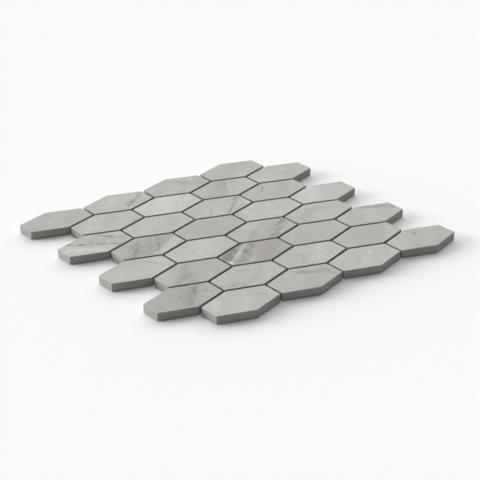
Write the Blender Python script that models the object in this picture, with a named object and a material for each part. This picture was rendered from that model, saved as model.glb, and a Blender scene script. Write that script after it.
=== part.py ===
"""Sheet of elongated hexagon mosaic tiles on a glass-fibre backing net.

Metres, +Z up. The origin is the middle of the sheet's underside. Rows run along X and follow
each other along Y, from row 1 at the back (+Y) to the last row at the front (-Y).
"""

import math

import bmesh
import bpy

# Tile: an elongated hexagon with two flat ends and two blunt points
TILE_LENGTH = 0.073
TILE_WIDTH = 0.04665
TILE_END_WIDTH = 0.0227
TILE_THICKNESS = 0.008
CORNER_EASE = 0.0005
TOP_ARRIS = 0.0005

# Sheet
ROW_COUNT = 8
TILES_PER_ROW = 4
JOINT_WIDTH = 0.003

# Backing net of flat strands, fused where they cross
NET_PITCH = 0.0125
STRAND_WIDTH = 0.001
STRAND_THICKNESS = 0.0005
NET_TRIM = 0.002
GLUE_LINE = 0.0003
NET_HALVES_GAP = 0.0003

# Finish: linear colour and roughness
PORCELAIN_ROUGHNESS = 0.55
NET_COLOUR = (0.72, 0.72, 0.69)
NET_ROUGHNESS = 0.8
GREY = (0.50, 0.49, 0.46)
WARM_GREY = (0.42, 0.39, 0.34)
GREEN_GREY = (0.43, 0.43, 0.37)
CLOUDED_TILES = {(2, 3): WARM_GREY, (4, 1): WARM_GREY, (6, 2): GREEN_GREY, (7, 1): WARM_GREY}

# Lattice: every tile sits in a cell that reaches to the middle of its joints
END_SLOPE = (TILE_WIDTH - TILE_END_WIDTH) / TILE_LENGTH
CELL_LENGTH = TILE_LENGTH + JOINT_WIDTH
CELL_POINT = TILE_WIDTH / 2 + JOINT_WIDTH / 2 * math.hypot(1, END_SLOPE)
CELL_END = CELL_POINT - END_SLOPE * CELL_LENGTH / 2
ROW_PITCH = CELL_POINT + CELL_END
SHEET_LENGTH = (TILES_PER_ROW + 0.5) * CELL_LENGTH
SHEET_WIDTH = (ROW_COUNT - 1) * ROW_PITCH + 2 * CELL_POINT
TILE_BOTTOM = STRAND_THICKNESS + GLUE_LINE

# Vertices closer than this are one
WELD = 0.000002
# How far a cutter reaches past what it cuts
OVERCUT = 0.002


def clear_scene():
    for obj in list(bpy.data.objects):
        bpy.data.objects.remove(obj, do_unlink=True)


def material(name, colour, roughness):
    made = bpy.data.materials.new(name)
    made.use_nodes = True
    shader = made.node_tree.nodes["Principled BSDF"]
    shader.inputs["Base Color"].default_value = (*colour, 1.0)
    shader.inputs["Roughness"].default_value = roughness
    shader.inputs["Metallic"].default_value = 0.0
    return made


def add_object(name, mesh, finish=None):
    obj = bpy.data.objects.new(name, mesh)
    bpy.context.scene.collection.objects.link(obj)
    if finish:
        obj.material_slots[0].link = "OBJECT"
        obj.material_slots[0].material = finish
    return obj


def mesh_from(shape, name):
    mesh = bpy.data.meshes.new(name)
    shape.to_mesh(mesh)
    shape.free()
    mesh.materials.append(None)
    return mesh


def hexagon_corners(length, point, end):
    """Corners of a hexagon, anticlockwise; point and end are half widths."""
    return [
        (length / 2, -end),
        (length / 2, end),
        (0, point),
        (-length / 2, end),
        (-length / 2, -end),
        (0, -point),
    ]


def cell_centre(row, column):
    """Centre of a tile; rows and columns count from 1, from the back and from the left."""
    stagger = 0.5 * ((row + 1) % 2)
    x = (column - 0.5 + stagger) * CELL_LENGTH - SHEET_LENGTH / 2
    y = SHEET_WIDTH / 2 - CELL_POINT - (row - 1) * ROW_PITCH
    return x, y


def add_hexagon(shape, corners, centre=(0, 0), z=0):
    verts = [shape.verts.new((x + centre[0], y + centre[1], z)) for x, y in corners]
    return shape.faces.new(verts)


def extrude_up(shape, height):
    """Thickens the flat faces of a shape upwards into one closed solid."""
    grown = bmesh.ops.extrude_face_region(shape, geom=shape.faces[:])
    tops = [item for item in grown["geom"] if isinstance(item, bmesh.types.BMVert)]
    bmesh.ops.translate(shape, vec=(0, 0, height), verts=tops)
    bmesh.ops.recalc_face_normals(shape, faces=shape.faces[:])


def is_upright(edge):
    low, high = edge.verts
    return abs(low.co.z - high.co.z) > TILE_THICKNESS / 2


def is_top_edge(edge):
    return all(vert.co.z > TILE_THICKNESS - WELD for vert in edge.verts)


def ease(shape, edges, width):
    bmesh.ops.bevel(
        shape,
        geom=edges,
        offset=width,
        offset_type="OFFSET",
        segments=1,
        profile=0.5,
        affect="EDGES",
        material=-1,
    )


def tile_mesh():
    """One tile with its back on z = 0."""
    shape = bmesh.new()
    add_hexagon(shape, hexagon_corners(TILE_LENGTH, TILE_WIDTH / 2, TILE_END_WIDTH / 2))
    extrude_up(shape, TILE_THICKNESS)
    ease(shape, [edge for edge in shape.edges if is_upright(edge)], CORNER_EASE)
    ease(shape, [edge for edge in shape.edges if is_top_edge(edge)], TOP_ARRIS)
    return mesh_from(shape, "tile")


def add_tiles():
    mesh = tile_mesh()
    for row in range(1, ROW_COUNT + 1):
        for column in range(1, TILES_PER_ROW + 1):
            name = f"tile_r{row}_c{column}"
            colour = CLOUDED_TILES.get((row, column), GREY)
            finish = material(f"porcelain_r{row}_c{column}", colour, PORCELAIN_ROUGHNESS)
            tile = add_object(name, mesh, finish)
            tile.location = (*cell_centre(row, column), TILE_BOTTOM)


def trim_outline():
    """Prism over the whole net, as wide as the sheet's zigzag outline less the trim."""
    shape = bmesh.new()
    corners = hexagon_corners(CELL_LENGTH, CELL_POINT, CELL_END)
    for row in range(1, ROW_COUNT + 1):
        for column in range(1, TILES_PER_ROW + 1):
            add_hexagon(shape, corners, cell_centre(row, column), -OVERCUT)
    bmesh.ops.remove_doubles(shape, verts=shape.verts[:], dist=WELD)
    whole = bmesh.ops.dissolve_faces(shape, faces=shape.faces[:], use_verts=False)["region"]
    rim = bmesh.ops.inset_region(
        shape,
        faces=whole,
        thickness=JOINT_WIDTH / 2 + NET_TRIM,
        use_even_offset=True,
        use_boundary=True,
    )["faces"]
    bmesh.ops.delete(shape, geom=rim, context="FACES")
    extrude_up(shape, STRAND_THICKNESS + 2 * OVERCUT)
    cutter = add_object("net_trim_outline", mesh_from(shape, "net_trim_outline"))
    cutter.hide_render = True
    cutter.display_type = "WIRE"
    return cutter


def strand_centres(low, high):
    """Centres of the strands between two edges, half a pitch either side of zero."""
    reach = max(abs(low), abs(high))
    count = math.ceil(reach / NET_PITCH)
    centres = [(index + 0.5) * NET_PITCH for index in range(-count, count)]
    return [c for c in centres if low < c - STRAND_WIDTH / 2 and c + STRAND_WIDTH / 2 < high]


def cut_lines(shape, centres, axis):
    """Cuts the flat shape along both edges of every strand that crosses this axis."""
    normal = [0, 0, 0]
    normal[axis] = 1
    for centre in centres:
        for side in (-1, 1):
            point = [0, 0, 0]
            point[axis] = centre + side * STRAND_WIDTH / 2
            bmesh.ops.bisect_plane(
                shape,
                geom=shape.verts[:] + shape.edges[:] + shape.faces[:],
                dist=WELD / 10,
                plane_co=point,
                plane_no=normal,
            )


def on_strand(value, centres):
    return any(abs(value - centre) < STRAND_WIDTH / 2 for centre in centres)


def strand_lattice(x_low, x_high):
    """Strands of one half of the net, from one upright line to another."""
    y_low, y_high = -SHEET_WIDTH / 2, SHEET_WIDTH / 2
    shape = bmesh.new()
    corners = ((x_low, y_low), (x_high, y_low), (x_high, y_high), (x_low, y_high))
    shape.faces.new([shape.verts.new((x, y, 0)) for x, y in corners])
    across = strand_centres(x_low, x_high)
    along = strand_centres(y_low, y_high)
    cut_lines(shape, across, 0)
    cut_lines(shape, along, 1)
    holes = []
    for face in shape.faces:
        middle = face.calc_center_median()
        if not on_strand(middle.x, across) and not on_strand(middle.y, along):
            holes.append(face)
    bmesh.ops.delete(shape, geom=holes, context="FACES")
    extrude_up(shape, STRAND_THICKNESS)
    return mesh_from(shape, "strands")


def piece_from(start):
    """Every vertex that edges join to this one."""
    piece, reached = {start}, [start]
    while reached:
        for edge in reached.pop().link_edges:
            for vert in edge.verts:
                if vert not in piece:
                    piece.add(vert)
                    reached.append(vert)
    return piece


def drop_offcuts(mesh):
    """Keeps the largest piece: the short strand ends that the trim cuts free fall away."""
    shape = bmesh.new()
    shape.from_mesh(mesh)
    bmesh.ops.remove_doubles(shape, verts=shape.verts[:], dist=WELD)
    pieces, left = [], set(shape.verts)
    while left:
        piece = piece_from(next(iter(left)))
        pieces.append(piece)
        left -= piece
    largest = max(pieces, key=len)
    loose = [vert for vert in shape.verts if vert not in largest]
    bmesh.ops.delete(shape, geom=loose, context="VERTS")
    shape.to_mesh(mesh)
    shape.free()


def add_net_half(name, x_low, x_high, outline, finish):
    rough = add_object(name + "_untrimmed", strand_lattice(x_low, x_high))
    trim = rough.modifiers.new("trim", "BOOLEAN")
    trim.operation = "INTERSECT"
    trim.solver = "EXACT"
    trim.object = outline
    bpy.context.view_layer.update()
    seen = rough.evaluated_get(bpy.context.evaluated_depsgraph_get())
    mesh = bpy.data.meshes.new_from_object(seen)
    mesh.name = name
    bpy.data.objects.remove(rough, do_unlink=True)
    drop_offcuts(mesh)
    if not mesh.materials:
        mesh.materials.append(None)
    return add_object(name, mesh, finish)


def add_net():
    outline = trim_outline()
    finish = material("glass_fibre_net", NET_COLOUR, NET_ROUGHNESS)
    edge, middle = SHEET_LENGTH / 2, NET_HALVES_GAP / 2
    add_net_half("backing_net_left", -edge, -middle, outline, finish)
    add_net_half("backing_net_right", middle, edge, outline, finish)


def main():
    clear_scene()
    add_net()
    add_tiles()


main()
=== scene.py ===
"""Looks of a mosaic sheet: elongated hexagon tiles of marble-look porcelain on a glass-fibre net."""

import math
from typing import NamedTuple

import bmesh
import bpy
from mathutils import Matrix, Vector


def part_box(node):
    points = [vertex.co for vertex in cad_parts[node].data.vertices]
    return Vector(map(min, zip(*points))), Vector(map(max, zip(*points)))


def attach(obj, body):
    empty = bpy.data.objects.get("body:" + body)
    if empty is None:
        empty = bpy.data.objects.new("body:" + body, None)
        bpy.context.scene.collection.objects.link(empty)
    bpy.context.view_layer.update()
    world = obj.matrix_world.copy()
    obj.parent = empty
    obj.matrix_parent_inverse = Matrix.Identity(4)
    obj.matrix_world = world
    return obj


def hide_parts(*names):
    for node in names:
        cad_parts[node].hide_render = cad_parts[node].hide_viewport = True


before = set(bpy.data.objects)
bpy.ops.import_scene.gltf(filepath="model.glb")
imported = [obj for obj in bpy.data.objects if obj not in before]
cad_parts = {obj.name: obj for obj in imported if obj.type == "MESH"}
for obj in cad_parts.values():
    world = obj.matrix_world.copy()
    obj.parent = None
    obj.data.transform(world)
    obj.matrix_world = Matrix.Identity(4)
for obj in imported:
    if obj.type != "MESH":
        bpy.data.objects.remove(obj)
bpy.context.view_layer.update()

bl_info = {
    "name": "Hexagon mosaic sheet",
    "version": (1, 0, 0),
    "blender": (4, 5, 0),
    "location": "View3D > Sidebar > Mosaic",
    "description": "Adds the tiles, the backing net and the stage of a hexagon mosaic sheet",
    "category": "Add Mesh",
}

BODY = "root"
MM = 0.001

# Tiles: every one is the same elongated hexagon, with two flat ends and two blunt points
TILE_NODES = sorted(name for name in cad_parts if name.startswith("tile_"))
NET_NODES = sorted(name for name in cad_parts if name.startswith("backing_net"))
TILE_LOW, TILE_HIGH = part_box(TILE_NODES[0])
TILE_LENGTH = TILE_HIGH.x - TILE_LOW.x
TILE_THICKNESS = TILE_HIGH.z - TILE_LOW.z
POINT_WIDTH = 46.65 * MM
END_WIDTH = 22.7 * MM
END_SLOPE = (POINT_WIDTH - END_WIDTH) / TILE_LENGTH

# Colours of the figure, as linear red, green and blue
SMOKE = (0.225, 0.220, 0.195)
DARK = (0.062, 0.058, 0.050)
BROWN = (0.185, 0.140, 0.100)
PINK = (0.330, 0.270, 0.250)
OLIVE = (0.170, 0.165, 0.095)
GREEN = (0.185, 0.190, 0.150)
MINT = (0.425, 0.450, 0.365)
OCHRE = (0.400, 0.378, 0.270)
CREAM = (0.560, 0.552, 0.460)
PALE = (0.580, 0.572, 0.540)


class Mark(NamedTuple):
    """A stretch of vein or a cloud on one tile, with its place and size in mm.

    x and y count from the tile's middle, and the angle in degrees from +X. crisp sharpens the
    side to the left of that direction, breaks is how far the mark is interrupted by patches
    whose fineness is its grain, cracked keeps it to hair cracks, and wander is how far it strays.
    """

    tint: tuple
    x: float
    y: float
    angle: float
    length: float
    width: float
    strength: float
    crisp: float = 0.0
    breaks: float = 0.6
    grain: float = 220.0
    cracked: bool = False
    wander: float = 1.0


# Figure of each tile, from the first row at the back to the last at the front
FIGURES = {
    "tile_r1_c1": [
        Mark(SMOKE, -1, 13, -70, 9, 6, 0.5),
        Mark(DARK, -1, 12, -60, 5, 2.5, 0.25),
    ],
    "tile_r1_c2": [
        Mark(PALE, -10, 3, 45, 46, 18, 0.35),
        Mark(MINT, 29, -3, 38, 24, 9, 0.40),
        Mark(PALE, 24, 8, 38, 24, 3, 0.35),
        Mark(DARK, 18, -4, 38, 50, 2.4, 0.36, breaks=0.5),
        Mark(SMOKE, 9, -9, 34, 18, 9, 0.70),
        Mark(SMOKE, 22, -4, 38, 40, 6, 0.35),
    ],
    "tile_r1_c3": [
        Mark(MINT, -20, 8, 20, 22, 18, 0.40),
        Mark(SMOKE, 4, 11, -50, 28, 12, 0.40),
        Mark(SMOKE, 19, -4, -35, 32, 16, 0.38),
        Mark(PALE, 22, 9, 30, 12, 6, 0.50, breaks=0.9),
        Mark(SMOKE, 33, 4, 60, 10, 5, 0.35),
    ],
    "tile_r1_c4": [
        Mark(SMOKE, 12, 8, 10, 40, 16, 0.16),
        Mark(PALE, 6, -14, 20, 24, 8, 0.20),
    ],
    "tile_r2_c1": [
        Mark(SMOKE, 15, 2, 84, 24, 4, 0.18),
        Mark(PALE, -22, -1, 70, 18, 8, 0.40),
        Mark(PALE, -10, 8, 40, 18, 6, 0.20),
    ],
    "tile_r2_c2": [
        Mark(PALE, -4, 0, 40, 96, 64, 0.58, breaks=0.1, wander=0.5),
        Mark(SMOKE, 25, 9, 20, 14, 6, 0.35),
    ],
    "tile_r2_c3": [
        Mark(SMOKE, 0, -3, 237, 90, 68, 0.38, crisp=40, breaks=0.1, wander=0.08),
        Mark(SMOKE, 15, 12, 10, 20, 8, 0.36),
        Mark(PALE, 9, 7, 57, 26, 2.0, 0.30, wander=0.3),
    ],
    "tile_r2_c4": [
        Mark(PALE, -12, 7, 60, 9, 5, 0.45),
        Mark(OCHRE, 11, -1, 35, 28, 10, 0.40),
        Mark(PALE, 9, 6, 55, 10, 5, 0.45, breaks=0.9),
        Mark(PALE, -30, -7, -20, 18, 7, 0.50),
    ],
    "tile_r3_c1": [
        Mark(PALE, -13, -9, -28, 54, 15, 0.70, breaks=0.3),
        Mark(SMOKE, 6, 8, -36, 64, 24, 0.22, breaks=0.3),
        Mark(DARK, -5, 1, -35, 76, 3.2, 0.30, breaks=1.0, grain=330),
        Mark(SMOKE, -5, 1, -34, 66, 6, 0.28),
        Mark(DARK, -24, 13.5, -40, 8, 3.5, 0.60),
        Mark(DARK, -12, 6.5, -30, 9, 4.5, 0.66),
        Mark(DARK, -3, 5.5, 20, 8, 4, 0.60),
        Mark(DARK, 5, -3, -30, 11, 4.5, 0.60),
        Mark(DARK, 15, -12, -50, 11, 4, 0.60),
        Mark(SMOKE, 22, 6, -46, 34, 8, 0.45),
        Mark(DARK, 20, 7, -50, 26, 4, 0.36, breaks=1.0, grain=330),
        Mark(PALE, 10, -13, -30, 20, 6, 0.50),
    ],
    "tile_r3_c2": [
        Mark(PALE, -12, 2, 50, 50, 22, 0.16),
        Mark(SMOKE, 24, 2, 55, 28, 10, 0.18),
    ],
    "tile_r3_c3": [
        Mark(SMOKE, 29, 9, 20, 20, 9, 0.42),
        Mark(DARK, 12, -9, 42, 40, 2.5, 0.62, breaks=0.35),
        Mark(DARK, 27, 6, 75, 16, 2.6, 0.42),
        Mark(DARK, 31, 9, 20, 12, 2.6, 0.45),
        Mark(DARK, -14, -7, 52, 24, 1.8, 0.30),
        Mark(PALE, 33, -7, 75, 18, 6, 0.50),
    ],
    "tile_r3_c4": [
        Mark(SMOKE, 0, 0, 50, 84, 46, 0.16, breaks=0.2),
        Mark(DARK, -7, 12, 56, 22, 2.6, 0.36),
        Mark(DARK, -13, 4, 54, 16, 2.2, 0.28),
    ],
    "tile_r4_c1": [
        Mark(SMOKE, 19, -3.5, 209, 120, 70, 0.50, crisp=40, breaks=0.1, wander=0.08),
        Mark(PALE, 24, -8, 32, 60, 16, 0.30, breaks=0.15),
        Mark(BROWN, -19, -3, 50, 38, 18, 0.46, breaks=0.5),
        Mark(PINK, 3, 4, 55, 32, 14, 0.66, breaks=0.4),
        Mark(SMOKE, -6, 10, 52, 34, 5, 0.55),
        Mark(DARK, -19, -6, 50, 26, 6, 0.55, breaks=1.0, grain=320),
        Mark(OCHRE, -20, -5, 40, 26, 10, 0.60, cracked=True),
        Mark(SMOKE, 10, -2, 57, 44, 6, 0.50),
        Mark(DARK, 9, -4, 57, 40, 2.8, 0.32, breaks=0.8),
        Mark(DARK, -3, -9, 58, 24, 2.2, 0.30),
    ],
    "tile_r4_c2": [
        Mark(SMOKE, 4, 0, 45, 90, 50, 0.24, breaks=0.15),
    ],
    "tile_r4_c3": [
        Mark(DARK, -13, 11, 62, 11, 3.4, 0.20),
        Mark(SMOKE, -13, -8, 76, 22, 5, 0.28),
        Mark(SMOKE, -31, 0, 70, 18, 5, 0.30),
        Mark(PALE, 18, 6, 20, 22, 8, 0.35),
        Mark(PALE, 2, -9, 0, 14, 5, 0.40),
    ],
    "tile_r4_c4": [
        Mark(PALE, -12, 2, 50, 60, 30, 0.55, breaks=0.3),
        Mark(MINT, 17, -3, 45, 34, 17, 0.55),
        Mark(SMOKE, 29, 9, -25, 18, 5, 0.40),
    ],
    "tile_r5_c1": [
        Mark(PALE, -18, 2, 30, 40, 22, 0.25),
        Mark(SMOKE, 15, 8, -42, 30, 4, 0.50),
    ],
    "tile_r5_c2": [
        Mark(PALE, -4, -2, 42, 70, 32, 0.28, breaks=0.3),
    ],
    "tile_r5_c3": [
        Mark(SMOKE, 8, -4, 40, 80, 44, 0.26, breaks=0.3),
        Mark(SMOKE, 17, -6, 38, 66, 15, 0.65, breaks=0.35),
        Mark(DARK, 28, 5, 38, 22, 4.5, 0.32, breaks=0.9),
        Mark(DARK, 2, -16, 42, 14, 5, 0.20),
        Mark(SMOKE, -16, -5, 40, 36, 6, 0.42),
        Mark(PALE, -5, -8, 38, 34, 3, 0.16),
        Mark(SMOKE, -25, 10, 20, 14, 6, 0.35),
        Mark(PALE, -14, 14, 10, 22, 4, 0.30),
    ],
    "tile_r5_c4": [
        Mark(SMOKE, -14, 2, 30, 50, 26, 0.30),
        Mark(PALE, 6, 16, 10, 22, 7, 0.35),
        Mark(OCHRE, 20, 5, 50, 22, 10, 0.35),
    ],
    "tile_r6_c1": [
        Mark(SMOKE, 4, 0, 40, 90, 50, 0.14, breaks=0.2),
        Mark(SMOKE, -4, 6, 58, 36, 9, 0.46),
        Mark(SMOKE, -9, -4, 10, 20, 13, 0.42),
        Mark(SMOKE, -22, -9, 30, 30, 8, 0.60),
        Mark(DARK, -8, -16, -22, 14, 3.5, 0.36),
    ],
    "tile_r6_c2": [
        Mark(SMOKE, 12, -2, 45, 80, 50, 0.40, breaks=0.2),
        Mark(PINK, 8, -4, 48, 64, 26, 0.34, breaks=0.4),
        Mark(GREEN, -23, 11, 43, 76, 27, 0.80, breaks=0.5, grain=420),
        Mark(OLIVE, -8, 5, 42, 58, 11, 0.36, breaks=0.9, grain=420),
        Mark(DARK, -23, 11, 40, 56, 18, 0.36, breaks=1.0, grain=520),
        Mark(DARK, -4, 4, 45, 54, 4, 0.30, breaks=0.9, grain=300),
        Mark(CREAM, -15, 7.5, 36, 58, 2.6, 0.42, breaks=1.0, grain=520),
        Mark(CREAM, -23, 1.5, 44, 13, 2.6, 0.75, grain=420),
        Mark(CREAM, -13, 7, 32, 15, 2.6, 0.75, grain=420),
        Mark(CREAM, -4, 15, 52, 16, 2.8, 0.65, grain=420),
        Mark(DARK, -7, 6, 40, 9, 4.5, 0.55),
        Mark(DARK, 5, 12, 60, 10, 4, 0.50),
        Mark(DARK, -23, -8, 30, 9, 4, 0.34),
        Mark(CREAM, -23, 0, 38, 28, 7, 0.50, cracked=True),
        Mark(PALE, -34, -6, 70, 9, 6, 1.0, breaks=0.3),
        Mark(PALE, -12, -12, 40, 20, 4, 0.30),
    ],
    "tile_r6_c3": [
        Mark(SMOKE, 0, 0, 40, 90, 50, 0.16, breaks=0.2),
    ],
    "tile_r6_c4": [
        Mark(SMOKE, 13, 14, -24, 24, 9, 0.85, breaks=0.4),
        Mark(SMOKE, 28, 6, -40, 24, 12, 0.55, breaks=0.4),
        Mark(OCHRE, -20, 0, 30, 24, 12, 0.30),
        Mark(PALE, 2, -4, 40, 40, 14, 0.20),
    ],
    "tile_r7_c1": [
        Mark(SMOKE, 0, 0, 40, 90, 50, 0.24, breaks=0.2),
        Mark(PINK, -2, 1, 38, 34, 12, 0.30, breaks=0.8),
        Mark(SMOKE, 10, -2, 42, 60, 26, 0.25, breaks=0.3),
        Mark(OLIVE, 4, -6, 47, 36, 12, 0.42, breaks=0.8),
        Mark(PINK, 14, 1, 43, 30, 9, 0.35, breaks=0.9),
        Mark(BROWN, 19, 7, 45, 36, 6, 0.24, breaks=0.9),
        Mark(DARK, 16, 5, 55, 9, 4, 0.40, grain=420),
        Mark(DARK, 22, 10, 36, 14, 4, 0.42, grain=420),
        Mark(OLIVE, 24, -1, 20, 10, 4, 0.35),
        Mark(SMOKE, -2, 2, 30, 10, 5, 0.40),
    ],
    "tile_r7_c2": [
        Mark(SMOKE, -26, -9, -25, 32, 8, 0.52),
        Mark(SMOKE, -1, -10, 10, 22, 9, 0.34),
        Mark(SMOKE, 18, 4, 40, 30, 12, 0.12),
        Mark(DARK, 22, 8, 15, 12, 3, 0.36),
        Mark(PINK, 6, 13, 30, 24, 9, 0.25),
    ],
    "tile_r7_c3": [
        Mark(PALE, 9, -2, 48, 50, 14, 0.35),
        Mark(PALE, 28, 12, -20, 12, 3, 0.65),
        Mark(SMOKE, -12, -2, 60, 28, 10, 0.30),
        Mark(SMOKE, 14, 15, -25, 16, 4, 0.30),
    ],
    "tile_r7_c4": [
        Mark(SMOKE, 2, 0, 40, 90, 50, 0.14, breaks=0.2),
    ],
    "tile_r8_c1": [
        Mark(PALE, -26, 5, 60, 26, 9, 0.60),
        Mark(PALE, 0, -6, 40, 50, 14, 0.30),
        Mark(SMOKE, 18, 2, -35, 34, 7, 0.26),
        Mark(OCHRE, -8, -6, 30, 24, 12, 0.22),
    ],
    "tile_r8_c2": [
        Mark(SMOKE, 4, -6, 30, 80, 24, 0.14),
        Mark(SMOKE, 9, 9, -37, 30, 8, 0.72, breaks=0.35),
        Mark(SMOKE, 28, -1, -62, 24, 9, 0.46),
        Mark(SMOKE, 19, -9, 20, 10, 4, 0.25),
    ],
    "tile_r8_c3": [
        Mark(PALE, -6, -7, 50, 26, 10, 0.30),
        Mark(OCHRE, 16, 0, 45, 30, 12, 0.25),
        Mark(PALE, 12, 6, 45, 9, 3, 1.0, breaks=0.3),
        Mark(DARK, 24, -6, 42, 7, 2.4, 0.36),
    ],
    "tile_r8_c4": [
        Mark(SMOKE, 6, 0, 40, 70, 44, 0.10),
        Mark(DARK, 1, 11, 45, 9, 3.8, 0.46),
    ],
}

# Tiles cut from a lighter or a deeper stretch of the slab; the others are level
PALEST_TILES = ("tile_r2_c2", "tile_r4_c4")
PALE_TILES = (
    "tile_r3_c1", "tile_r3_c2", "tile_r4_c3", "tile_r5_c1", "tile_r5_c2", "tile_r7_c2",
    "tile_r7_c3", "tile_r8_c1", "tile_r8_c3")
DEEP_TILES = (
    "tile_r1_c1", "tile_r1_c3", "tile_r1_c4", "tile_r3_c4", "tile_r4_c2", "tile_r6_c1",
    "tile_r6_c3")
DEEPEST_TILES = ("tile_r7_c1", "tile_r6_c2")
SHADE_STEPS = {PALEST_TILES: 2, PALE_TILES: 1, DEEP_TILES: -1, DEEPEST_TILES: -2}

# Casts of the slab's ground, as shares of its red, green and blue
WARM_CAST = (1.01, 0.995, 1.0)
COOL_CAST = (0.99, 1.007, 0.985)

# Below the finished face the print is full down to the first depth and gone at the second
PRINT_FULL = 0.05 * MM
PRINT_GONE = 0.30 * MM

# Finish of the honed face, the sawn sides and the net's strands
SPECULAR_LEVEL = 0.35
HONED_SPREAD = 0.05
SAWN_ROUGHNESS = 0.85
SAW_LINE_DEPTH = 0.08 * MM
FILAMENT_DEPTH = 0.10 * MM
ROUND_SEGMENTS = 4

# Values between which most of a noise texture lies, and all but its peaks
NOISE_SPREAD = (0.3, 0.7)
WIDE_NOISE_SPREAD = (0.25, 0.75)
MID_GREY = (0.5, 0.5, 0.5)

# Soft lights of the sky: azimuth from +X towards +Y, elevation and half angle, then strength
SOFT_LIGHTS = (
    (math.radians(135), math.radians(11), math.radians(26), 12.50),
    (math.radians(58), math.radians(-5), math.radians(76), 3.85),
)

# Heights on the dome of the sky: where the horizon's level ends and where the zenith's begins
HORIZON_TOP = 0.56
ZENITH_FOOT = 0.5

# Stage: half a side of the floor in metres, and the camera's sensor in millimetres
FLOOR_REACH = 12.0
SENSOR_WIDTH = 36.0

# Sockets of a Mix node: its first and second value, then its result
MIX_SOCKETS = {"RGBA": (6, 7, 2), "FLOAT": (2, 3, 0)}


class TileSettings(bpy.types.PropertyGroup):
    corner_ease: bpy.props.FloatProperty(
        name="Corner ease", description="Flat taken off either side of an upright corner",
        default=0.5 * MM, min=0, unit="LENGTH")
    arris: bpy.props.FloatProperty(
        name="Arris", description="Width of the rounded edge round the finished face",
        default=0.4 * MM, min=0, unit="LENGTH")
    ground: bpy.props.FloatVectorProperty(
        name="Ground", description="Colour between the veins", subtype="COLOR", size=3,
        default=(0.416, 0.405, 0.376), min=0, max=1)
    shade_step: bpy.props.FloatProperty(
        name="Shade step", description="Between one shade of the slab and the next",
        default=0.04, min=0, max=0.2, subtype="FACTOR")
    # Pale rim: a painted highlight, the face mixed towards pale along its edges where the arris catches
    # the light
    rim: bpy.props.FloatProperty(
        name="Painted rim highlight", description="How far the print gives way to a pale edge round the face",
        default=0.25, min=0, max=1, subtype="FACTOR")
    body: bpy.props.FloatVectorProperty(
        name="Body", description="Colour of the cut sides and the back", subtype="COLOR", size=3,
        default=(0.298, 0.298, 0.282), min=0, max=1)
    roughness: bpy.props.FloatProperty(
        name="Roughness", description="Roughness of the honed face", default=0.66, min=0, max=1,
        subtype="FACTOR")


class NetSettings(bpy.types.PropertyGroup):
    colour: bpy.props.FloatVectorProperty(
        name="Colour", description="Colour of the glass-fibre strands", subtype="COLOR", size=3,
        default=(0.72, 0.72, 0.69), min=0, max=1)


class StageSettings(bpy.types.PropertyGroup):
    floor: bpy.props.FloatProperty(
        name="Floor", description="How pale the floor is", default=0.96, min=0, max=1,
        subtype="FACTOR")
    horizon: bpy.props.FloatProperty(
        name="Horizon", description="Level of the sky all round the horizon", default=0.385, min=0)
    zenith: bpy.props.FloatProperty(
        name="Zenith", description="Level of the sky overhead", default=0.648, min=0)
    azimuth: bpy.props.FloatProperty(
        name="Azimuth", description="Turn of the camera round the sheet", subtype="ANGLE",
        default=math.radians(-37.807))
    elevation: bpy.props.FloatProperty(
        name="Elevation", description="Height of the camera over the floor", subtype="ANGLE",
        default=math.radians(24.401))
    distance: bpy.props.FloatProperty(
        name="Distance", description="From the camera to the point it looks at", unit="LENGTH",
        default=1.3590)
    aim: bpy.props.FloatVectorProperty(
        name="Aim", description="Point by the finished face that the camera looks at",
        subtype="TRANSLATION", unit="LENGTH", default=(-14.86 * MM, -25.61 * MM, 9.10 * MM))
    lens: bpy.props.FloatProperty(
        name="Lens", description="Focal length of the camera, in millimetres", default=102.26,
        subtype="DISTANCE_CAMERA")


def add_node(tree, kind, inputs=None, **settings):
    """A node with its settings, and each input either linked from a socket or set to a value."""
    made = tree.nodes.new(kind)
    for name, value in settings.items():
        setattr(made, name, value)
    for name, value in (inputs or {}).items():
        if isinstance(value, bpy.types.NodeSocket):
            tree.links.new(value, made.inputs[name])
        else:
            made.inputs[name].default_value = value
    return made


def calculate(tree, operation, *values, clamp=False):
    inputs = dict(enumerate(values))
    made = add_node(tree, "ShaderNodeMath", inputs, operation=operation, use_clamp=clamp)
    return made.outputs[0]


def product(tree, first, *others):
    for other in others:
        first = calculate(tree, "MULTIPLY", first, other)
    return first


def ramp(tree, value, low, high, to_low=0.0, to_high=1.0):
    """Eases from one level to another as a value runs from low to high."""
    inputs = {"Value": value, "From Min": low, "From Max": high, "To Min": to_low, "To Max": to_high}
    made = add_node(tree, "ShaderNodeMapRange", inputs, interpolation_type="SMOOTHSTEP")
    return made.outputs["Result"]


def fade(tree, value, full, gone, strength=1.0):
    """Eases down from full strength to nothing as a value grows."""
    return ramp(tree, value, full, gone, strength, 0.0)


def vary(tree, pattern, low, high, spread=NOISE_SPREAD):
    """Levels between low and high, laid out by a noise pattern."""
    return ramp(tree, pattern, *spread, low, high)


def mix(tree, kind, share, first, second, blend="MIX"):
    first_socket, second_socket, result = MIX_SOCKETS[kind]
    inputs = {"Factor": share, first_socket: first, second_socket: second}
    made = add_node(tree, "ShaderNodeMix", inputs, data_type=kind, blend_type=blend)
    return made.outputs[result]


def shaded(tree, colour, level):
    """A colour made lighter or darker by a level round 1."""
    return mix(tree, "RGBA", 1.0, colour, level, blend="MULTIPLY")


def vector_math(tree, operation, first, second=None, scale=None):
    inputs = {0: first}
    if second is not None:
        inputs[1] = second
    if scale is not None:
        inputs["Scale"] = scale
    made = add_node(tree, "ShaderNodeVectorMath", inputs, operation=operation)
    return made.outputs["Value" if operation == "DOT_PRODUCT" else "Vector"]


def turn(tree, vector, angle):
    inputs = {"Vector": vector, "Angle": angle}
    return add_node(tree, "ShaderNodeVectorRotate", inputs, rotation_type="Z_AXIS").outputs["Vector"]


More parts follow.
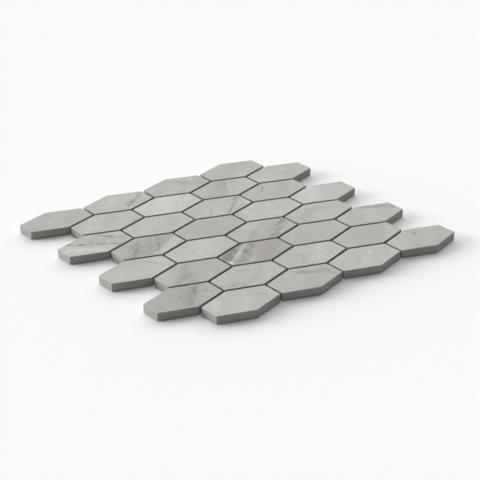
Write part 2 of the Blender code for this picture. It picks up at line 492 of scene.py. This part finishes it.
def axes_of(tree, vector):
    return add_node(tree, "ShaderNodeSeparateXYZ", {"Vector": vector}).outputs


def noise(tree, vector, scale, detail=2.0, roughness=0.5, distortion=0.0):
    inputs = {
        "Vector": vector, "Scale": scale, "Detail": detail, "Roughness": roughness,
        "Distortion": distortion,
    }
    return add_node(tree, "ShaderNodeTexNoise", inputs).outputs


def drift(tree, vector, reach, **pattern):
    """An offset that wanders from place to place, by up to about half its reach."""
    offset = vector_math(tree, "SUBTRACT", noise(tree, vector, **pattern)["Color"], MID_GREY)
    return vector_math(tree, "SCALE", offset, scale=reach)


def open_group(name, inputs, outputs):
    """A shader node group with named sockets; returns its tree, its inputs and its output node."""
    tree = bpy.data.node_groups.new(name, "ShaderNodeTree")
    for label, (kind, value) in inputs.items():
        socket = tree.interface.new_socket(label, in_out="INPUT", socket_type="NodeSocket" + kind)
        if value is not None:
            socket.default_value = value
    for label, kind in outputs.items():
        tree.interface.new_socket(label, in_out="OUTPUT", socket_type="NodeSocket" + kind)
    start = tree.nodes.new("NodeGroupInput")
    return tree, start.outputs, tree.nodes.new("NodeGroupOutput")


def close_group(tree, end, **results):
    for name, result in results.items():
        tree.links.new(result, end.inputs[name])
    return tree


def use_group(tree, group, **inputs):
    return add_node(tree, "ShaderNodeGroup", inputs, node_tree=group).outputs


def mark_group():
    """A stretch of vein or a cloud: it wanders, frays, breaks up and has a faint halo."""
    inputs = {
        "Vector": ("Vector", None),
        "Middle": ("Vector", (0, 0, 0)),
        "Angle": ("Float", 0.0),
        "Length": ("Float", 20 * MM),
        "Width": ("Float", 4 * MM),
        "Crisp": ("Float", 0.0),
        "Breaks": ("Float", 0.6),
        "Grain": ("Float", 220.0),
        "Wander": ("Float", 1.0),
    }
    tree, start, end = open_group("Figure mark", inputs, {"Mask": "Float"})

    # A wide mark strays further than a narrow one
    reach = calculate(tree, "MULTIPLY_ADD", start["Width"], 0.45, 4.5 * MM)
    reach = calculate(tree, "MULTIPLY", reach, start["Wander"])
    strayed = drift(tree, start["Vector"], reach, scale=75.0, detail=5.0, roughness=0.62)
    from_middle = vector_math(tree, "SUBTRACT", start["Vector"], start["Middle"])
    moved = vector_math(tree, "ADD", from_middle, strayed)

    # Where a point lies along and across the mark, in lengths and widths
    back = calculate(tree, "MULTIPLY", start["Angle"], -1.0)
    parts = axes_of(tree, turn(tree, moved, back))
    along = calculate(tree, "DIVIDE", calculate(tree, "ABSOLUTE", parts["X"]), start["Length"])
    across = calculate(tree, "DIVIDE", parts["Y"], start["Width"])
    keen = calculate(tree, "MULTIPLY", calculate(tree, "MAXIMUM", across, 0.0), start["Crisp"])
    across = calculate(tree, "ADD", calculate(tree, "ABSOLUTE", across), keen)

    # Patches drawn out along the mark fray its edges and ends and break it up
    drawn_out = vector_math(tree, "MULTIPLY", turn(tree, start["Vector"], back), (0.4, 1.0, 1.0))
    patches = noise(tree, drawn_out, start["Grain"], detail=4.0, roughness=0.65)["Fac"]
    uneven = calculate(tree, "SUBTRACT", 0.5, patches)
    core = fade(tree, calculate(tree, "MULTIPLY_ADD", uneven, 1.1, across), full=0.02, gone=0.62)
    gaps = calculate(tree, "SUBTRACT", 1.0, start["Breaks"])
    core = calculate(tree, "MULTIPLY", core, ramp(tree, patches, 0.38, 0.56, gaps, 1.0))
    halo = fade(tree, across, full=0.1, gone=1.3, strength=0.14)
    ends = fade(tree, calculate(tree, "MULTIPLY_ADD", uneven, 0.25, along), full=0.26, gone=0.56)
    mask = calculate(tree, "MULTIPLY", calculate(tree, "MAXIMUM", core, halo), ends, clamp=True)
    return close_group(tree, end, Mask=mask)


def crackle_group():
    """Hair cracks between crazed cells, as a mask."""
    inputs = {"Vector": ("Vector", None), "Scale": ("Float", 260.0)}
    tree, start, end = open_group("Crazed cracks", inputs, {"Mask": "Float"})
    strayed = drift(tree, start["Vector"], 4 * MM, scale=300.0, detail=3.0, roughness=0.6)
    moved = vector_math(tree, "ADD", start["Vector"], strayed)
    inputs = {"Vector": moved, "Scale": start["Scale"]}
    cells = add_node(tree, "ShaderNodeTexVoronoi", inputs, feature="DISTANCE_TO_EDGE").outputs
    return close_group(tree, end, Mask=fade(tree, cells["Distance"], full=0.02, gone=0.2))


def rim_highlight_group():
    """How near a point is to the rim of its tile's face: full at the rim, gone a little inside. It lays
    out the painted highlight along the rim.
    """
    inputs = {
        "Vector": ("Vector", None),
        "Middle": ("Vector", (0, 0, 0)),
        "Reach": ("Float", 1.2 * MM),
    }
    tree, start, end = open_group("Tile rim highlight", inputs, {"Mask": "Float"})
    from_middle = vector_math(tree, "SUBTRACT", start["Vector"], start["Middle"])
    away = vector_math(tree, "ABSOLUTE", from_middle)
    to_end = calculate(tree, "SUBTRACT", TILE_LENGTH / 2, axes_of(tree, away)["X"])
    steep = math.hypot(1, END_SLOPE)
    slanted = vector_math(tree, "DOT_PRODUCT", away, (END_SLOPE / steep, 1 / steep, 0))
    to_slant = calculate(tree, "SUBTRACT", POINT_WIDTH / 2 / steep, slanted)
    inside = calculate(tree, "MINIMUM", to_end, to_slant)
    share = calculate(tree, "DIVIDE", inside, start["Reach"])
    return close_group(tree, end, Mask=fade(tree, share, full=0.4, gone=1.0))


def slab_group():
    """Ground of the slab: broad clouds, faint slanting streaks and a fine grain, round a level of 1."""
    inputs = {"Vector": ("Vector", None), "Slant": ("Float", math.radians(48))}
    tree, start, end = open_group("Slab ground", inputs, {"Level": "Float", "Warmth": "Float"})
    turned = turn(tree, start["Vector"], calculate(tree, "MULTIPLY", start["Slant"], -1.0))
    drawn_out = vector_math(tree, "MULTIPLY", turned, (0.28, 1.0, 1.0))
    clouds = noise(tree, drawn_out, 42.0, detail=4.0)["Fac"]
    streaks = noise(tree, drawn_out, 260.0, detail=5.0, roughness=0.6, distortion=0.6)["Fac"]
    grain = noise(tree, start["Vector"], 2600.0)["Fac"]
    level = product(
        tree, vary(tree, clouds, 0.93, 1.07, WIDE_NOISE_SPREAD),
        vary(tree, streaks, 0.955, 1.04, WIDE_NOISE_SPREAD), vary(tree, grain, 0.98, 1.02))
    return close_group(tree, end, Level=level, Warmth=noise(tree, drawn_out, 30.0)["Fac"])


def cut_side_group():
    """Sawn porcelain body: a fine speckle, and level saw lines as height."""
    inputs = {"Vector": ("Vector", None)}
    tree, start, end = open_group("Sawn body", inputs, {"Level": "Float", "Height": "Float"})
    speckle = noise(tree, start["Vector"], 1400.0, detail=3.0)["Fac"]
    level_runs = vector_math(tree, "MULTIPLY", start["Vector"], (0.12, 0.12, 1.0))
    lines = noise(tree, level_runs, 1500.0)["Fac"]
    mottle = noise(tree, start["Vector"], 90.0, detail=3.0)["Fac"]
    level = product(tree, vary(tree, speckle, 0.95, 1.04), vary(tree, mottle, 0.95, 1.05))
    height = calculate(tree, "MULTIPLY_ADD", speckle, 0.5, lines)
    return close_group(tree, end, Level=level, Height=height)


def new_material(name):
    material = bpy.data.materials.new(name)
    material.use_nodes = True
    tree = material.node_tree
    tree.nodes.clear()
    shader = add_node(tree, "ShaderNodeBsdfPrincipled")
    add_node(tree, "ShaderNodeOutputMaterial", {"Surface": shader.outputs[0]})
    place = add_node(tree, "ShaderNodeTexCoord").outputs["Object"]
    return material, tree, shader, place


def add_bump(tree, shader, height, strength, depth):
    inputs = {"Strength": strength, "Distance": depth, "Height": height}
    bump = add_node(tree, "ShaderNodeBump", inputs)
    tree.links.new(bump.outputs["Normal"], shader.inputs["Normal"])


def shade_of(name, settings):
    """How light a tile's stretch of slab is, round a level of 1."""
    steps = sum(step for names, step in SHADE_STEPS.items() if name in names)
    return 1 + settings.shade_step * steps


def slab_colour(tree, place, name, groups, settings):
    """Ground of a tile's stretch of slab, from its cooler to its warmer clouds."""
    slab = use_group(tree, groups["slab"], Vector=place)
    ground = [shade_of(name, settings) * channel for channel in settings.ground]
    warm = (*(channel * share for channel, share in zip(ground, WARM_CAST)), 1)
    cool = (*(channel * share for channel, share in zip(ground, COOL_CAST)), 1)
    colour = mix(tree, "RGBA", ramp(tree, slab["Warmth"], 0.35, 0.65), cool, warm)
    return shaded(tree, colour, slab["Level"])


def add_mark(tree, place, middle, mark, groups, colour):
    """One mark of a tile's figure over the colour below it."""
    mask = use_group(
        tree, groups["mark"], Vector=place, Middle=middle + Vector((mark.x, mark.y, 0)) * MM,
        Angle=math.radians(mark.angle), Length=mark.length * MM, Width=mark.width * MM,
        Crisp=mark.crisp, Breaks=mark.breaks, Grain=mark.grain, Wander=mark.wander)["Mask"]
    if mark.cracked:
        cracks = use_group(tree, groups["crackle"], Vector=place)["Mask"]
        mask = calculate(tree, "MULTIPLY", mask, cracks)
    mask = calculate(tree, "MULTIPLY", mask, mark.strength)
    return mix(tree, "RGBA", mask, colour, (*mark.tint, 1))


def porcelain(name, groups, settings):
    """Material of one tile: the slab's ground with that tile's own marks, a painted highlight paler
    along the rim of the face, and the sawn body below.
    """
    material, tree, shader, place = new_material("porcelain_" + name)
    low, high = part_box(name)
    middle = Vector(((low.x + high.x) / 2, (low.y + high.y) / 2, high.z))
    colour = slab_colour(tree, place, name, groups, settings)
    for mark in FIGURES[name]:
        colour = add_mark(tree, place, middle, mark, groups, colour)
    # Painted highlight: the face mixed towards pale along its rim, where the edge catches the light
    rim = use_group(tree, groups["rim"], Vector=place, Middle=middle)["Mask"]
    colour = mix(tree, "RGBA", calculate(tree, "MULTIPLY", rim, settings.rim), colour, (*PALE, 1))

    body = use_group(tree, groups["side"], Vector=place)
    body_colour = shaded(tree, (*settings.body, 1), body["Level"])
    height = axes_of(tree, place)["Z"]
    on_face = ramp(tree, height, high.z - PRINT_GONE, high.z - PRINT_FULL)
    colour = mix(tree, "RGBA", on_face, body_colour, colour)
    tree.links.new(colour, shader.inputs["Base Color"])

    smooth, rough = settings.roughness - HONED_SPREAD, settings.roughness + HONED_SPREAD
    honed = vary(tree, noise(tree, place, 300.0, detail=3.0)["Fac"], smooth, rough)
    roughness = mix(tree, "FLOAT", on_face, SAWN_ROUGHNESS, honed)
    tree.links.new(roughness, shader.inputs["Roughness"])
    shader.inputs["Specular IOR Level"].default_value = SPECULAR_LEVEL
    sides = calculate(tree, "SUBTRACT", 1.0, on_face)
    saw_lines = calculate(tree, "MULTIPLY", body["Height"], sides)
    add_bump(tree, shader, saw_lines, strength=0.25, depth=SAW_LINE_DEPTH)
    return material


def glass_fibre(settings):
    """Woven glass-fibre strand: twisted filaments under a dull binder."""
    material, tree, shader, place = new_material("glass_fibre_net")
    filaments = noise(tree, place, 1800.0, detail=3.0, distortion=1.5)["Fac"]
    colour = shaded(tree, (*settings.colour, 1), vary(tree, filaments, 0.82, 1.05))
    tree.links.new(colour, shader.inputs["Base Color"])
    tree.links.new(vary(tree, filaments, 0.55, 0.8), shader.inputs["Roughness"])
    add_bump(tree, shader, filaments, strength=0.5, depth=FILAMENT_DEPTH)
    return material


def bevel(shape, edges, width):
    bmesh.ops.bevel(
        shape, geom=edges, offset=width, offset_type="OFFSET", segments=ROUND_SEGMENTS,
        profile=0.5, affect="EDGES", material=-1)


def tile_shape(settings):
    """One tile round the origin: its outline drawn up, upright corners eased and the arris rounded."""
    half, point, end = TILE_LENGTH / 2, POINT_WIDTH / 2, END_WIDTH / 2
    outline = [(half, -end), (half, end), (0, point), (-half, end), (-half, -end), (0, -point)]
    shape = bmesh.new()
    shape.faces.new([shape.verts.new((x, y, 0)) for x, y in outline])
    grown = bmesh.ops.extrude_face_region(shape, geom=shape.faces[:])["geom"]
    tops = [item for item in grown if isinstance(item, bmesh.types.BMVert)]
    bmesh.ops.translate(shape, vec=(0, 0, TILE_THICKNESS), verts=tops)
    bmesh.ops.recalc_face_normals(shape, faces=shape.faces[:])
    middle = TILE_THICKNESS / 2
    upright = [e for e in shape.edges if abs(e.verts[0].co.z - e.verts[1].co.z) > middle]
    bevel(shape, upright, settings.corner_ease)
    rim = [e for e in shape.edges if all(v.co.z > middle for v in e.verts)]
    bevel(shape, rim, settings.arris)
    return shape


class MOSAIC_OT_tiles(bpy.types.Operator):
    """Add the tiles, each cut from its own stretch of the slab"""

    bl_idname = "mosaic.tiles"
    bl_label = "Add tiles"

    def execute(self, context):
        settings = context.scene.mosaic_tiles
        groups = {
            "slab": slab_group(), "mark": mark_group(), "crackle": crackle_group(),
            "rim": rim_highlight_group(), "side": cut_side_group(),
        }
        shape = tile_shape(settings)
        for name in TILE_NODES:
            low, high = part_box(name)
            mesh = bpy.data.meshes.new(name + "_finished")
            shape.to_mesh(mesh)
            middle = (low + high) / 2
            mesh.transform(Matrix.Translation((middle.x, middle.y, low.z)))
            mesh.materials.append(porcelain(name, groups, settings))
            tile = bpy.data.objects.new(name + "_finished", mesh)
            context.scene.collection.objects.link(tile)
            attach(tile, BODY)
            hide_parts(name)
        shape.free()
        return {"FINISHED"}


class MOSAIC_OT_backing_net(bpy.types.Operator):
    """Finish the glass-fibre net under the tiles"""

    bl_idname = "mosaic.backing_net"
    bl_label = "Finish backing net"

    def execute(self, context):
        material = glass_fibre(context.scene.mosaic_net)
        for name in NET_NODES:
            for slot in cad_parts[name].material_slots:
                slot.material = material
        return {"FINISHED"}


def add_floor(context, settings):
    shape = bmesh.new()
    bmesh.ops.create_grid(shape, x_segments=1, y_segments=1, size=FLOOR_REACH)
    mesh = bpy.data.meshes.new("floor")
    shape.to_mesh(mesh)
    shape.free()
    floor = bpy.data.objects.new("floor", mesh)
    context.scene.collection.objects.link(floor)
    material, _, shader, _ = new_material("floor")
    shader.inputs["Base Color"].default_value = (settings.floor, settings.floor, settings.floor, 1)
    shader.inputs["Roughness"].default_value = 1.0
    shader.inputs["Specular IOR Level"].default_value = 0.0
    mesh.materials.append(material)


def soft_light(tree, direction, light):
    """Level of one soft light in the sky: full at its middle and gone at its edge."""
    azimuth, elevation, half_angle, strength = light
    flat = math.cos(elevation)
    towards = (math.cos(azimuth) * flat, math.sin(azimuth) * flat, math.sin(elevation))
    facing = vector_math(tree, "DOT_PRODUCT", direction, towards)
    return ramp(tree, facing, math.cos(half_angle), 1.0, 0.0, strength)


def add_sky(context, settings):
    """A pale studio: soft lights low behind the sheet, a dim dome, and white where it is seen."""
    world = bpy.data.worlds.new("studio")
    context.scene.world = world
    world.use_nodes = True
    tree = world.node_tree
    tree.nodes.clear()
    direction = add_node(tree, "ShaderNodeTexCoord").outputs["Generated"]
    height = axes_of(tree, direction)["Z"]
    level = calculate(
        tree, "ADD", fade(tree, height, 0.0, HORIZON_TOP, settings.horizon),
        ramp(tree, height, ZENITH_FOOT, 1.0, 0.0, settings.zenith))
    for light in SOFT_LIGHTS:
        level = calculate(tree, "ADD", soft_light(tree, direction, light), level)
    lit = add_node(tree, "ShaderNodeBackground", {"Color": (1, 1, 1, 1), "Strength": level})
    seen = add_node(tree, "ShaderNodeBackground", {"Color": (1, 1, 1, 1), "Strength": 1.0})
    rays = add_node(tree, "ShaderNodeLightPath").outputs
    mirrored = calculate(tree, "MAXIMUM", rays["Is Glossy Ray"], rays["Is Transmission Ray"])
    white = calculate(tree, "MAXIMUM", rays["Is Camera Ray"], mirrored)
    mixed = add_node(tree, "ShaderNodeMixShader", {0: white, 1: lit.outputs[0], 2: seen.outputs[0]})
    add_node(tree, "ShaderNodeOutputWorld", {"Surface": mixed.outputs[0]})


def add_camera(context, settings):
    data = bpy.data.cameras.new("camera")
    data.sensor_width = SENSOR_WIDTH
    data.lens = settings.lens
    camera = bpy.data.objects.new("camera", data)
    context.scene.collection.objects.link(camera)
    camera.rotation_euler = (math.pi / 2 - settings.elevation, 0, settings.azimuth)
    away = camera.rotation_euler.to_matrix() @ Vector((0, 0, 1))
    camera.location = Vector(settings.aim) + away * settings.distance
    context.scene.camera = camera


class MOSAIC_OT_stage(bpy.types.Operator):
    """Add the pale floor, the soft light and the camera"""

    bl_idname = "mosaic.stage"
    bl_label = "Add stage"

    def execute(self, context):
        settings = context.scene.mosaic_stage
        add_floor(context, settings)
        add_sky(context, settings)
        add_camera(context, settings)
        context.scene.view_settings.view_transform = "Standard"
        return {"FINISHED"}


class MOSAIC_PT_panel(bpy.types.Panel):
    """Lists the settings and the operators"""

    bl_idname = "MOSAIC_PT_panel"
    bl_label = "Hexagon mosaic sheet"
    bl_space_type = "VIEW_3D"
    bl_region_type = "UI"
    bl_category = "Mosaic"

    def draw(self, context):
        for attribute, operator in STEPS:
            box = self.layout.box()
            settings = getattr(context.scene, attribute)
            for name in settings.__annotations__:
                box.prop(settings, name)
            box.operator(operator)


STEPS = (
    ("mosaic_tiles", "mosaic.tiles"),
    ("mosaic_net", "mosaic.backing_net"),
    ("mosaic_stage", "mosaic.stage"),
)
SETTINGS = {"mosaic_tiles": TileSettings, "mosaic_net": NetSettings, "mosaic_stage": StageSettings}
CLASSES = (
    *SETTINGS.values(), MOSAIC_OT_tiles, MOSAIC_OT_backing_net, MOSAIC_OT_stage, MOSAIC_PT_panel)


def register():
    for cls in CLASSES:
        bpy.utils.register_class(cls)
    for attribute, group in SETTINGS.items():
        setattr(bpy.types.Scene, attribute, bpy.props.PointerProperty(type=group))


def unregister():
    for attribute in SETTINGS:
        delattr(bpy.types.Scene, attribute)
    for cls in reversed(CLASSES):
        bpy.utils.unregister_class(cls)


def main():
    register()
    bpy.ops.mosaic.tiles()
    bpy.ops.mosaic.backing_net()
    bpy.ops.mosaic.stage()


if __name__ == "__main__":
    main()
